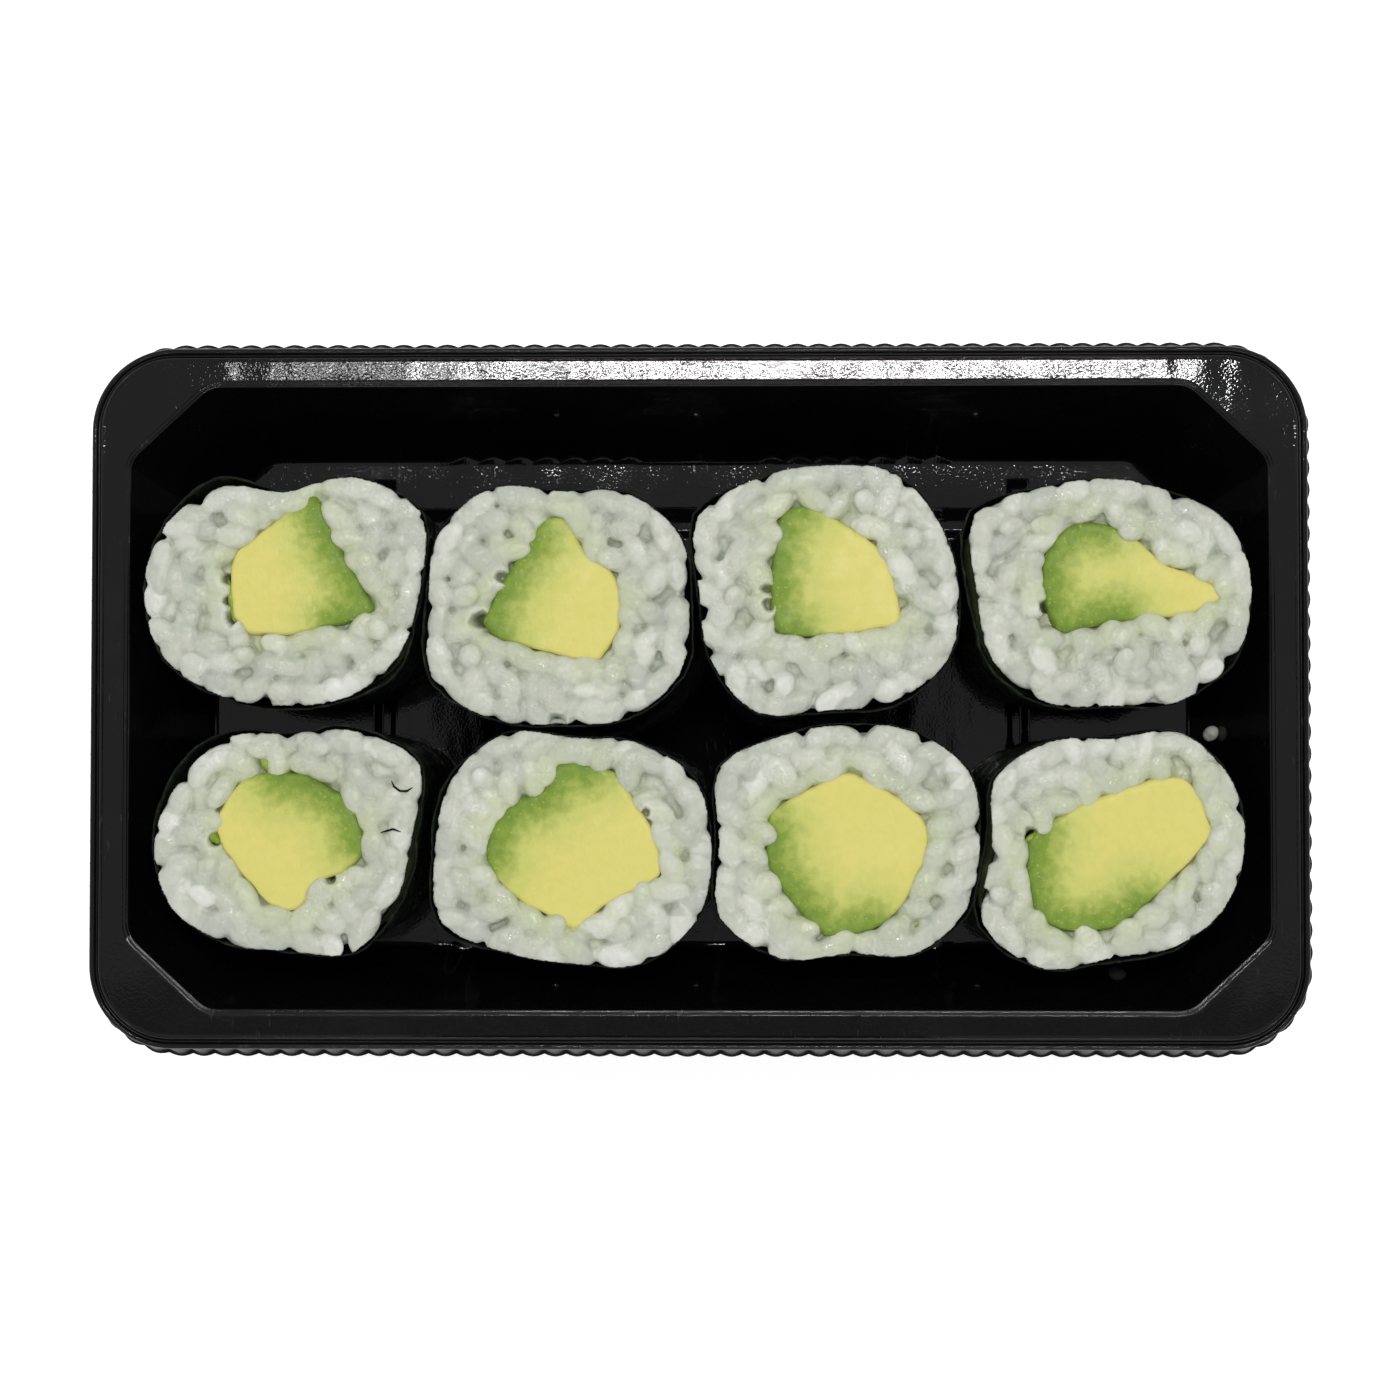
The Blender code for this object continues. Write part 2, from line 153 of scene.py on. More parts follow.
class StageLook(bpy.types.PropertyGroup):
    lens: FloatProperty(name="Lens", description="Focal length in millimetres", default=78.9, min=1.0)
    eye: FloatVectorProperty(name="Eye", description="Where the camera stands", size=3,
                             default=(0.0071, -0.0121, 0.3720), subtype="TRANSLATION", unit="LENGTH")
    aim: FloatVectorProperty(name="Aim", description="What the camera looks at", size=3,
                             default=(0.0003, -0.00035, 0.0220), subtype="TRANSLATION", unit="LENGTH")
    daylight: FloatProperty(name="Daylight", description="Strength of the even light", default=0.38)
    softbox: FloatProperty(name="Softbox", description="Power of each softbox in watts", default=1.0)
    spot: FloatProperty(name="Spot", description="Power of each small spot in watts", default=0.31)
    strip: FloatProperty(name="Strip", description="Power of each lamp of the two ceiling strips in watts",
                         default=0.11)


# --- frame ------------------------------------------------------------------------------
class Outline:
    """The outer outline of a node, which changes evenly from its base to its top."""

    def __init__(self, node):
        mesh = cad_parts[node].data
        points = np.empty(len(mesh.vertices) * 3)
        mesh.vertices.foreach_get("co", points)
        points = points.reshape(-1, 3) / MM
        builder = bmesh.new()
        builder.from_mesh(mesh)
        bmesh.ops.scale(builder, vec=(1 / MM,) * 3, verts=builder.verts)
        tree = BVHTree.FromBMesh(builder)
        builder.free()
        self.low, self.high = points[:, 2].min(), points[:, 2].max()
        self.levels = (self.low + READ_MARGIN, self.high - READ_MARGIN)
        self.rings = [self.read(tree, points, level) for level in self.levels]

    def read(self, tree, points, level):
        near = points[np.abs(points[:, 2] - level) < 2 * READ_MARGIN]
        if not len(near):
            near = points
        middle = (near.min(0) + near.max(0)) / 2
        ring = []
        for angle in np.arange(OUTLINE_POINTS) * math.tau / OUTLINE_POINTS:
            way = Vector((math.cos(angle), math.sin(angle), 0.0))
            start = Vector((middle[0], middle[1], level)) + way * REACH
            hit = tree.ray_cast(start, -way)[0]
            if hit is None:
                raise RuntimeError("an outline has a gap")
            ring.append(hit.xy)
        return np.array(ring)

    def at(self, height):
        share = (height - self.levels[0]) / (self.levels[1] - self.levels[0])
        return self.rings[0] * (1.0 - share) + self.rings[1] * share


class Roll:
    """The outlines and the middle of one roll, read from the frame."""

    def __init__(self, number):
        self.number = number
        self.seaweed = Outline(f"nori_{number}")
        self.filling = Outline(f"avocado_{number}")
        self.top = self.filling.high
        self.base = self.seaweed.low
        ring = self.seaweed.at(self.top)
        self.middle = (ring.min(0) + ring.max(0)) / 2

    def rice_at(self, height):
        """The rice's outline at a height, against the inner side of the seaweed."""
        ring = self.seaweed.at(height)
        return ring - outward(ring) * RICE_INSET


ROLLS = {number: Roll(number) for number in ROLL_NUMBERS}


# --- outlines ---------------------------------------------------------------------------
def inside_distance(points, outline):
    """How far each point lies inside a closed outline, or outside it as a negative number."""
    start, end = outline, np.roll(outline, -1, 0)
    step = end - start
    offset = points[:, None, :] - start[None]
    share = np.clip((offset * step).sum(2) / (step * step).sum(1), 0.0, 1.0)
    gap = np.linalg.norm(offset - share[..., None] * step, axis=2).min(1)
    high = points[:, None, 1]
    crossing = (start[:, 1] > high) != (end[:, 1] > high)
    rise = np.where(step[:, 1] == 0.0, 1.0, step[:, 1])
    crossing &= points[:, None, 0] < start[:, 0] + (high - start[:, 1]) * step[:, 0] / rise
    return np.where(crossing.sum(1) % 2 == 1, gap, -gap)


def outward(ring):
    """Outward directions along a closed anticlockwise ring."""
    along = np.roll(ring, -1, 0) - np.roll(ring, 1, 0)
    along /= np.linalg.norm(along, axis=1)[:, None]
    return np.stack([along[:, 1], -along[:, 0]], 1)


def evenly(ring, count):
    """A closed ring with its points spaced evenly, from the same start."""
    closed = np.vstack([ring, ring[:1]])
    walked = np.concatenate([[0.0], np.cumsum(np.linalg.norm(np.diff(closed, axis=0), axis=1))])
    wanted = np.arange(count) * walked[-1] / count
    return np.stack([np.interp(wanted, walked, closed[:, axis]) for axis in (0, 1)], 1)


def lifted(ring, height):
    """A flat ring put at a height."""
    return np.column_stack([ring, np.full(len(ring), height)])


def fade(value, low, high):
    """Goes smoothly from 0 at low to 1 at high."""
    share = np.clip((value - low) / (high - low), 0.0, 1.0)
    return share * share * (3.0 - 2.0 * share)


def lumps(points, size, seed):
    """Smooth noise at each point, about -1 to 1, with lumps of that size."""
    shift = Vector((seed * 7.31, seed * 3.77, seed * 5.13))
    return np.array([noise.noise(Vector(point) / size + shift) for point in points])


# --- meshes -----------------------------------------------------------------------------
def add_loft(builder, rings, closed=True):
    """Skin a row of rings with equal numbers of points, given from the bottom up."""
    made = bmesh.ops.create_circle(builder, cap_ends=False, segments=len(rings[0]), radius=1.0)
    ring = first = made["verts"]
    for vert, point in zip(ring, rings[0]):
        vert.co = point
    for points in rings[1:]:
        edges = [builder.edges.get((vert, ring[index - 1])) for index, vert in enumerate(ring)]
        made = bmesh.ops.extrude_edge_only(builder, edges=edges)
        drawn = {item for item in made["geom"] if isinstance(item, bmesh.types.BMVert)}
        ring = [next(edge.other_vert(vert) for edge in vert.link_edges
                     if edge.other_vert(vert) in drawn) for vert in ring]
        for vert, point in zip(ring, points):
            vert.co = point
    if closed:
        for end in (first, ring):
            bmesh.ops.contextual_create(builder, geom=end)
    return ring


def add_grain(builder, place, heading, rise, size):
    """Add one grain: an egg drawn out along its heading."""
    turn = (Matrix.Translation(place) @ Matrix.Rotation(heading, 4, "Z")
            @ Matrix.Rotation(-rise, 4, "Y") @ Matrix.Diagonal((*size, 1.0)))
    return bmesh.ops.create_icosphere(builder, subdivisions=3, radius=1.0, matrix=turn)["verts"]


def joined_surface(builder, cell, smoothing):
    """One closed skin round everything in a bmesh, smoothed where shapes meet."""
    mesh = bpy.data.meshes.new("joining")
    builder.to_mesh(mesh)
    builder.free()
    piece = bpy.data.objects.new("joining", mesh)
    bpy.context.scene.collection.objects.link(piece)
    skin = piece.modifiers.new("Skin", "REMESH")
    skin.mode, skin.voxel_size = "VOXEL", cell
    softener = piece.modifiers.new("Softener", "SMOOTH")
    softener.factor, softener.iterations = 0.5, smoothing
    seen = piece.evaluated_get(bpy.context.evaluated_depsgraph_get())
    result = bmesh.new()
    result.from_mesh(seen.to_mesh())
    seen.to_mesh_clear()
    bpy.data.objects.remove(piece)
    bpy.data.meshes.remove(mesh)
    return result


def finish_piece(name, builder, material, slot, *nodes, recalculate=True):
    """Make a piece that rides on the tray out of a bmesh in millimetres."""
    if recalculate:
        bmesh.ops.recalc_face_normals(builder, faces=builder.faces)
    bmesh.ops.scale(builder, vec=(MM, MM, MM), verts=builder.verts)
    mesh = bpy.data.meshes.new(name)
    builder.to_mesh(mesh)
    builder.free()
    mesh.shade_smooth()
    mesh.materials.append(material)
    piece = bpy.data.objects.new(name, mesh)
    bpy.context.scene.collection.objects.link(piece)
    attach(piece, "root")
    if nodes:
        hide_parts(*nodes)
    return piece


def mesh_points(mesh):
    points = np.empty(len(mesh.vertices) * 3)
    mesh.vertices.foreach_get("co", points)
    return points.reshape(-1, 3)


def builder_points(builder):
    return np.array([vert.co for vert in builder.verts])


def paint(piece, name, masks):
    """Store up to three masks between 0 and 1 as the red, green and blue of an attribute."""
    layer = piece.data.attributes.new(name, "FLOAT_COLOR", "POINT")
    values = np.ones((len(piece.data.vertices), 4))
    for channel, mask in enumerate(masks):
        values[:, channel] = np.clip(mask, 0.0, 1.0)
    layer.data.foreach_set("color", values.astype(np.float32).ravel())


# --- materials --------------------------------------------------------------------------
def add_node(tree, kind, inputs=(), **settings):
    """Add a shader node, set its settings, and set or link its inputs."""
    node = tree.nodes.new("ShaderNode" + kind)
    for name, value in settings.items():
        setattr(node, name, value)
    for key, value in dict(inputs).items():
        if isinstance(value, bpy.types.NodeSocket):
            tree.links.new(value, node.inputs[key])
        else:
            node.inputs[key].default_value = value
    return node


def rgba(value):
    return (*value, 1.0)


def noise_group():
    """Patches of noise stretched over a range: used for gloss, colour and relief alike."""
    tree = bpy.data.node_groups.new("Patches", "ShaderNodeTree")
    for name, default in (("Size", 0.002), ("Detail", 2.0), ("From", 0.35), ("To", 0.65),
                          ("Low", 0.0), ("High", 1.0)):
        tree.interface.new_socket(name, in_out="INPUT", socket_type="NodeSocketFloat").default_value = default
    tree.interface.new_socket("Stretch", in_out="INPUT",
                              socket_type="NodeSocketVector").default_value = (1.0, 1.0, 1.0)
    tree.interface.new_socket("Value", in_out="OUTPUT", socket_type="NodeSocketFloat")
    given = tree.nodes.new("NodeGroupInput").outputs
    place = add_node(tree, "TexCoord").outputs["Object"]
    stretched = add_node(tree, "VectorMath", {0: place, 1: given["Stretch"]}, operation="MULTIPLY")
    scale = add_node(tree, "Math", {0: 1.0, 1: given["Size"]}, operation="DIVIDE")
    grain = add_node(tree, "TexNoise", {"Vector": stretched.outputs[0], "Scale": scale.outputs[0],
                                        "Detail": given["Detail"]})
    spread = add_node(tree, "MapRange", {"Value": grain.outputs["Fac"], "From Min": given["From"],
                                         "From Max": given["To"], "To Min": given["Low"],
                                         "To Max": given["High"]}, interpolation_type="SMOOTHSTEP")
    out = tree.nodes.new("NodeGroupOutput")
    tree.links.new(spread.outputs["Result"], out.inputs["Value"])
    return tree


def patches(tree, size, low=0.0, high=1.0, start=0.35, end=0.65, detail=2.0, stretch=(1.0, 1.0, 1.0)):
    """Place the noise group with its own values, and return its output."""
    node = tree.nodes.new("ShaderNodeGroup")
    node.node_tree = bpy.data.node_groups.get("Patches") or noise_group()
    for name, value in (("Size", size * MM), ("Detail", detail), ("From", start), ("To", end),
                        ("Low", low), ("High", high), ("Stretch", stretch)):
        node.inputs[name].default_value = value
    return node.outputs["Value"]


def mixed(tree, share, low, high, mode="MIX"):
    """Mix two colours, each a socket or a value."""
    node = add_node(tree, "Mix", data_type="RGBA", blend_type=mode)
    for key, value in ((0, share), (6, low), (7, high)):
        if isinstance(value, bpy.types.NodeSocket):
            tree.links.new(value, node.inputs[key])
        else:
            node.inputs[key].default_value = value if key == 0 else rgba(value)
    return node.outputs[2]


def calc(tree, operation, first, second, clamp=False):
    return add_node(tree, "Math", {0: first, 1: second}, operation=operation, use_clamp=clamp).outputs[0]


def bump(tree, height, distance, strength=1.0, normal=None):
    inputs = {"Height": height, "Distance": distance * MM, "Strength": strength}
    if normal:
        inputs["Normal"] = normal
    return add_node(tree, "Bump", inputs).outputs["Normal"]


def new_material(name, **settings):
    """A material with its Principled shader, and that shader's constant sockets set."""
    material = bpy.data.materials.new(name)
    material.use_nodes = True
    shader = material.node_tree.nodes["Principled BSDF"]
    for key, value in settings.items():
        shader.inputs[key.replace("_", " ")].default_value = value
    return material, material.node_tree, shader


def connect(tree, shader, **sockets):
    for key, value in sockets.items():
        tree.links.new(value, shader.inputs[key.replace("_", " ")])


def masks_of(tree, name):
    """The three masks stored under a name, as sockets."""
    stored = add_node(tree, "Attribute", attribute_name=name)
    parts = add_node(tree, "SeparateColor", {"Color": stored.outputs["Color"]})
    return [parts.outputs[index] for index in range(3)]


def plastic_material(look):
    material, tree, shader = new_material("black_plastic", IOR=1.26)
    scratches = patches(tree, 0.35, 0.0, 1.0, 0.66, 0.72, 1.0, (1.0, 0.16, 1.0))
    worn = patches(tree, 6.0, 0.0, 1.0, 0.48, 0.66, 3.0)
    marks = calc(tree, "MULTIPLY", scratches, worn)
    dull = patches(tree, 9.0, 0.0, 0.5, 0.45, 0.75, 3.0)
    base = mixed(tree, calc(tree, "ADD", marks, calc(tree, "MULTIPLY", dull, 0.25), True),
                 look.plastic, look.scuff)
    gloss = calc(tree, "ADD", calc(tree, "MULTIPLY", marks, 0.08),
                 calc(tree, "ADD", calc(tree, "MULTIPLY", dull, 0.04), 0.03))
    skirt = masks_of(tree, "tray_masks")[0]
    level = calc(tree, "SUBTRACT", 0.5, calc(tree, "MULTIPLY", skirt, 0.38))
    gloss = calc(tree, "ADD", gloss, calc(tree, "MULTIPLY", skirt, 0.38))
    dimples = patches(tree, 0.30, 0.0, 1.0, 0.3, 0.7, 1.0)
    waves = patches(tree, 4.5, 0.0, 1.0, 0.3, 0.7, 1.0, (1.0, 0.4, 0.4))
    relief = bump(tree, dimples, 0.0020, 1.0, bump(tree, waves, 0.022, 1.0))
    connect(tree, shader, Base_Color=base, Roughness=gloss, Normal=relief, Specular_IOR_Level=level)
    return material


def seaweed_material(look):
    material, tree, shader = new_material("toasted_seaweed", IOR=1.22, Specular_IOR_Level=0.3)
    thin = patches(tree, 1.6, 0.0, 1.0, 0.45, 0.75, 3.0)
    base = mixed(tree, thin, look.dark, look.green)
    gloss = patches(tree, 2.4, 0.32, 0.66, 0.35, 0.65, 2.0)
    fibres = patches(tree, 0.5, 0.0, 1.0, 0.3, 0.7, 3.0, (1.0, 1.0, 0.35))
    connect(tree, shader, Base_Color=base, Roughness=gloss, Normal=bump(tree, fibres, 0.10, 0.9))
    return material


def rice_material(look):
    material, tree, shader = new_material("cooked_rice", IOR=1.40, Subsurface_Weight=0.2,
                                          Subsurface_Scale=0.002, Subsurface_Radius=(1.0, 1.0, 0.9))
    stain, grain, depth = masks_of(tree, "rice_stain_tone_and_shade")
    # The tone mask holds each grain's own tone, plus painted highlight where rice bulges and painted shade in
    # creases.
    soft = mixed(tree, calc(tree, "MULTIPLY", calc(tree, "SUBTRACT", 0.5, grain), 2.0, True),
                 look.body, look.clear)
    soft = mixed(tree, calc(tree, "MULTIPLY", calc(tree, "SUBTRACT", grain, 0.5), 2.0, True),
                 soft, look.milky_and_highlight)
    soft = mixed(tree, patches(tree, 1.3, 0.0, 0.12, 0.45, 0.70, 2.0), soft, look.clear)
    stained = calc(tree, "MULTIPLY", stain, patches(tree, 3.0, 0.35, 1.0, 0.35, 0.6, 2.0))
    soft = mixed(tree, stained, soft, look.stained)
    # Painted shade: rice deep below the cut and in creases darkens towards the hollow colour.
    base = mixed(tree, depth, soft, look.hollow)
    wet = patches(tree, 3.4, 0.0, 1.0, 0.52, 0.64, 2.0)
    gloss = calc(tree, "SUBTRACT", patches(tree, 1.1, 0.32, 0.42), calc(tree, "MULTIPLY", wet, 0.26))
    film = calc(tree, "MULTIPLY", patches(tree, 0.34, 0.0, 1.0, 0.3, 0.7, 1.0), wet)
    skin = bump(tree, patches(tree, 1.1, 0.0, 1.0, 0.25, 0.75, 1.0), 0.16, 0.8)
    connect(tree, shader, Base_Color=base, Roughness=gloss, Normal=bump(tree, film, 0.05, 0.9, skin))
    return material


def avocado_material(look):
    material, tree, shader = new_material("avocado_flesh", IOR=1.30, Subsurface_Weight=0.15,
                                          Subsurface_Scale=0.0015, Subsurface_Radius=(1.0, 0.9, 0.4))
    ripe, depth = masks_of(tree, "avocado_ripeness_and_shade")[:2]
    streaks = patches(tree, 1.2, -0.06, 0.06, 0.35, 0.65, 3.0)
    level = calc(tree, "ADD", ripe, streaks)
    ramp = add_node(tree, "ValToRGB", {"Fac": level})
    stops = ramp.color_ramp.elements
    stops[0].position, stops[0].color = 0.0, rgba(look.rind_and_shade)
    stops[1].position, stops[1].color = 1.0, rgba(look.heart)
    for position, shade in ((0.28, look.green), (0.66, look.flesh)):
        stop = stops.new(position)
        stop.color = rgba(shade)
    flecks = patches(tree, 0.45, 0.0, 0.35, 0.62, 0.74, 1.0)
    base = mixed(tree, calc(tree, "MULTIPLY", flecks, calc(tree, "SUBTRACT", 1.0, ripe)),
                 ramp.outputs["Color"], look.heart)
    # Painted shade: flesh below the top darkens towards the rind colour.
    base = mixed(tree, calc(tree, "MULTIPLY", depth, 0.75), base, look.rind_and_shade)
    gloss = patches(tree, 2.2, 0.36, 0.52, 0.35, 0.65, 2.0)
    grain = patches(tree, 0.8, 0.0, 1.0, 0.3, 0.7, 2.0, (1.0, 0.6, 1.0))
    connect(tree, shader, Base_Color=base, Roughness=gloss, Normal=bump(tree, grain, 0.035, 0.6))
    return material


# --- tray -------------------------------------------------------------------------------
OUTER_HALF, OUTER_RADIUS = (69.0, 39.5), 8.8
BAND_TOP = 22.0
RIM_MARK, WALL_MARKS, MARK_RADIUS = (67.0, 30.5, BAND_TOP - 0.05), (-16.6, -0.3, 32.3), 0.42
MOUTH_HALF, MOUTH_CUT = (65.0, 35.5), (9.0, 8.4)
FLOOR_HALF, FLOOR_CUT = (59.0, 29.5), (7.0, 6.5)
FLOOR_TOP, CHANNEL_TOP = 1.5, 0.5
LONG_CHANNEL, CROSS_CHANNEL = (20.0, 20.8, 22.1, 23.5), (36.9, 37.7, 38.7, 39.5)
CHANNEL_END_X, CHANNEL_END_Y = (51.0, 52.0), (26.0, 27.0)
CHANNEL_SOFTNESS = 0.24         # rounding of the channels' edges
STEPS_PER_FLUTE = 6
WALL_FLUTES = (6.9, 30.2)       # first and last of the long walls' flutes, from the middle
# Outer side, bottom up: distance out, height, and how deep the flutes are.
SKIRT_PROFILE = (
    (1.85, 14.92, 0.6), (2.0, 15.0, 0.7), (2.0, 15.35, 0.75), (1.90, 15.5, 0.85), (1.76, 15.62, 1.2),
    (1.64, 15.9, 1.4), (1.45, 16.8, 1.3), (1.25, 18.0, 1.2), (1.05, 19.2, 1.1), (0.88, 20.2, 1.0),
    (0.78, 20.75, 0.6), (0.72, 21.1, 0.0), (0.62, 21.35, 0.0), (0.40, 21.46, 0.0), (0.15, 21.40, 0.0),
    (0.0, 21.2, 0.0), (-0.15, 21.12, 0.0), (-0.32, 21.25, 0.0), (-0.43, 21.75, 0.0),
    (-0.53, 21.94, 0.0), (-0.64, 22.02, 0.0), (-0.76, 22.03, 0.0), (-0.88, 22.0, 0.0), (-1.0, 22.0, 0.0),
)
# Inner side, top down: distance out from the mouth, and height.
BEVEL_PROFILE = ((0.95, 22.0), (0.80, 22.0), (0.66, 21.98), (0.54, 21.92), (0.44, 21.87), (0.34, 21.86),
                 (0.24, 21.85), (0.14, 21.79), (0.06, 21.67), (0.01, 21.50), (-0.02, 21.25))
WALL_STEPS = 9


def evenly_with(points, ways, count):
    """A closed ring and its directions, with points spaced evenly."""
    closed = np.vstack([points, points[:1]])
    closed_ways = np.vstack([ways, ways[:1]])
    walked = np.concatenate([[0.0], np.cumsum(np.linalg.norm(np.diff(closed, axis=0), axis=1))])
    wanted = np.arange(count) * walked[-1] / count
    return np.stack([np.interp(wanted, walked, column) for column in (*closed.T, *closed_ways.T)], 1)


def rounded_ring(half, radius, count):
    """A rounded rectangle from the middle of its right side, and its outward directions."""
    arcs, turns = [], []
    for index, (side_x, side_y) in enumerate(((1, 1), (-1, 1), (-1, -1), (1, -1))):
        bearing = (index + np.linspace(0.0, 1.0, 24)) * math.pi / 2
        way = np.stack([np.cos(bearing), np.sin(bearing)], 1)
        arcs.append(np.array([side_x * (half[0] - radius), side_y * (half[1] - radius)]) + radius * way)
        turns.append(way)
    points = np.vstack([[(half[0], 0.0)], *arcs])
    ways = np.vstack([[(1.0, 0.0)], *turns])
    both = evenly_with(points, ways, count)
    return both[:, :2], both[:, 2:] / np.linalg.norm(both[:, 2:], axis=1)[:, None]


def cut_ring(half, cut, count):
    """A rectangle with cut corners, from the middle of its right side, with soft corners."""
    shares = np.array([MOUTH_HALF[1] - MOUTH_CUT[1], math.hypot(*MOUTH_CUT), MOUTH_HALF[0] - MOUTH_CUT[0]])
    marks = np.concatenate([[0.0], np.cumsum(shares) / shares.sum()])
    share = np.arange(count // 4) * 4 / count
    across = np.interp(share, marks, (half[0], half[0], half[0] - cut[0], 0.0))
    along = np.interp(share, marks, (0.0, half[1] - cut[1], half[1], half[1]))
    back = 1.0 - share
    across_back = np.interp(back, marks, (half[0], half[0], half[0] - cut[0], 0.0))
    along_back = np.interp(back, marks, (0.0, half[1] - cut[1], half[1], half[1]))
    ring = np.vstack([np.stack(pair, 1) for pair in (
        (across, along), (-across_back, along_back), (-across, -along), (across_back, -along_back))])
    return sum(np.roll(ring, shift, 0) for shift in range(-3, 4)) / 7.0


def skirt_rings(look):
    """The rings of the outer side, bottom up."""
    count = look.flutes * STEPS_PER_FLUTE
    outline, ways = rounded_ring(OUTER_HALF, OUTER_RADIUS, count)
    valley = 1.0 - np.abs(np.sin(np.arange(count) * math.pi / STEPS_PER_FLUTE))
    rings = []
    for distance, height, share in SKIRT_PROFILE:
        out = distance - share * valley * look.flute_depth / MM
        rings.append(lifted(outline + ways * out[:, None], height))
    return rings


def wall_rings(look):
    """The rings of the inner side, from the rim down to the floor."""
    count = look.flutes * STEPS_PER_FLUTE
    mouth = cut_ring(MOUTH_HALF, MOUTH_CUT, count)
    floor = cut_ring(FLOOR_HALF, FLOOR_CUT, count)
    rings = [lifted(mouth + outward(mouth) * distance, height) for distance, height in BEVEL_PROFILE]
    top, pitch = BEVEL_PROFILE[-1][1], look.wall_pitch / MM
    profile = [(share, top + (FLOOR_TOP + 0.25 - top) * share) for share in
               np.linspace(0.0, 1.0, WALL_STEPS)[1:]]
    for share, height in profile:
        ring = mouth + (floor - mouth) * share
        across = np.abs(ring[:, 0])
        first, last = WALL_FLUTES
        scallop = np.abs(np.sin((across - first) * math.pi / pitch)) * look.wall_depth / MM
        scallop *= (across > first) & (across < last) & (np.abs(ring[:, 1]) > 20.0)
        scallop *= fade(share, 0.35, 0.9)
        rings.append(lifted(ring + np.stack([np.zeros(count), np.sign(ring[:, 1]) * scallop], 1), height))
    foot = rings[-1][:, :2]
    rings += [lifted(foot - outward(floor) * 0.12, FLOOR_TOP + 0.07),
              lifted(foot - outward(floor) * 0.35, FLOOR_TOP),
              lifted(floor - outward(floor) * 0.8, FLOOR_TOP)]
    return rings


def trapezium(distance, edges):
    """1 between the middle two of four edges, 0 outside all, and between them on the slopes."""
    return np.interp(distance, edges, (0.0, 1.0, 1.0, 0.0))


def channel_share(across, along):
    """1 in the floor's channels, 0 on its raised parts, and between them on the slopes."""
    long = min(trapezium(abs(along), LONG_CHANNEL), np.interp(abs(across), CHANNEL_END_X, (1.0, 0.0)))
    cross = min(trapezium(abs(across), CROSS_CHANNEL), np.interp(abs(along), CHANNEL_END_Y, (1.0, 0.0)))
    return max(long, cross)


def cut_channels(builder, floor_face):
    """Cut the floor along the channels' edges, with a cut close by each, and lower the cuts' points."""
    faces = {floor_face}
    lines = [(0, value) for value in (*CROSS_CHANNEL, *CHANNEL_END_X)]
    lines += [(1, value) for value in (*LONG_CHANNEL, *CHANNEL_END_Y)]
    for axis, value in lines:
        for side in (-1, 1):
            for offset in (-CHANNEL_SOFTNESS, 0.0, CHANNEL_SOFTNESS):
                place, way = [0.0, 0.0, 0.0], [0.0, 0.0, 0.0]
                place[axis], way[axis] = side * (value + offset), 1.0
                geometry = list(faces) + list({edge for face in faces for edge in face.edges})
                geometry += list({vert for face in faces for vert in face.verts})
                made = bmesh.ops.bisect_plane(builder, geom=geometry, dist=1e-5, plane_co=place, plane_no=way)
                faces = {item for item in made["geom"] if isinstance(item, bmesh.types.BMFace)}
    for vert in {vert for face in faces for vert in face.verts}:
        share = channel_share(vert.co.x, vert.co.y)
        vert.co.z = FLOOR_TOP - (FLOOR_TOP - CHANNEL_TOP) * share * share * (3.0 - 2.0 * share)


def add_dome(builder, place, radius, height):
    """Add a low round bump."""
    shape = Matrix.Translation(place) @ Matrix.Diagonal((radius, radius, height, 1.0))
    bmesh.ops.create_uvsphere(builder, u_segments=14, v_segments=8, radius=1.0, matrix=shape)


class ROLLS_OT_tray(bpy.types.Operator):
    """Make the fluted tray"""
    bl_idname = "rolls.tray"
    bl_label = "Tray"

    def execute(self, context):
        look = context.scene.rolls_tray
        builder = bmesh.new()
        rings = skirt_rings(look) + wall_rings(look)
        last = add_loft(builder, rings, closed=False)
        floor = bmesh.ops.contextual_create(builder, geom=last)["faces"][0]
        floor.normal_update()
        if floor.normal.z < 0.0:
            bmesh.ops.reverse_faces(builder, faces=builder.faces)
        cut_channels(builder, floor)
        material = plastic_material(look)
        piece = finish_piece("tray_shell", builder, material, "tray", "tray", recalculate=False)
        wall = piece.modifiers.new("Wall", "SOLIDIFY")
        wall.thickness, wall.offset, wall.use_even_offset = look.sheet, -1.0, False
        points = mesh_points(piece.data) / MM
        skirt = (np.abs(points[:, 0]) > MOUTH_HALF[0] + 0.3) | (np.abs(points[:, 1]) > MOUTH_HALF[1] + 0.3)
        skirt = skirt * fade(-points[:, 2], -21.4, -20.9)
        paint(piece, "tray_masks", (skirt,))
        marks = bmesh.new()
        add_dome(marks, RIM_MARK, MARK_RADIUS, 0.22)
        for across in WALL_MARKS:
            for along in (33.28, -33.28):
                add_dome(marks, (across, along, 14.7), MARK_RADIUS, 0.32)
        finish_piece("tray_marks", marks, material, "tray")
        return {"FINISHED"}


# --- seaweed ----------------------------------------------------------------------------
SEAWEED_AROUND, SEAWEED_ROWS = 260, 30


def stand_off(roll, bearing):
    """How far loose stretches of the seaweed stand off the rice."""
    total = np.zeros(len(bearing))
    for centre, spread, distance in LOOSE_SEAWEED[roll.number]:
        apart = (bearing - centre + 180.0) % 360.0 - 180.0
        total += distance * np.exp(-(apart / spread) ** 2)
    return total


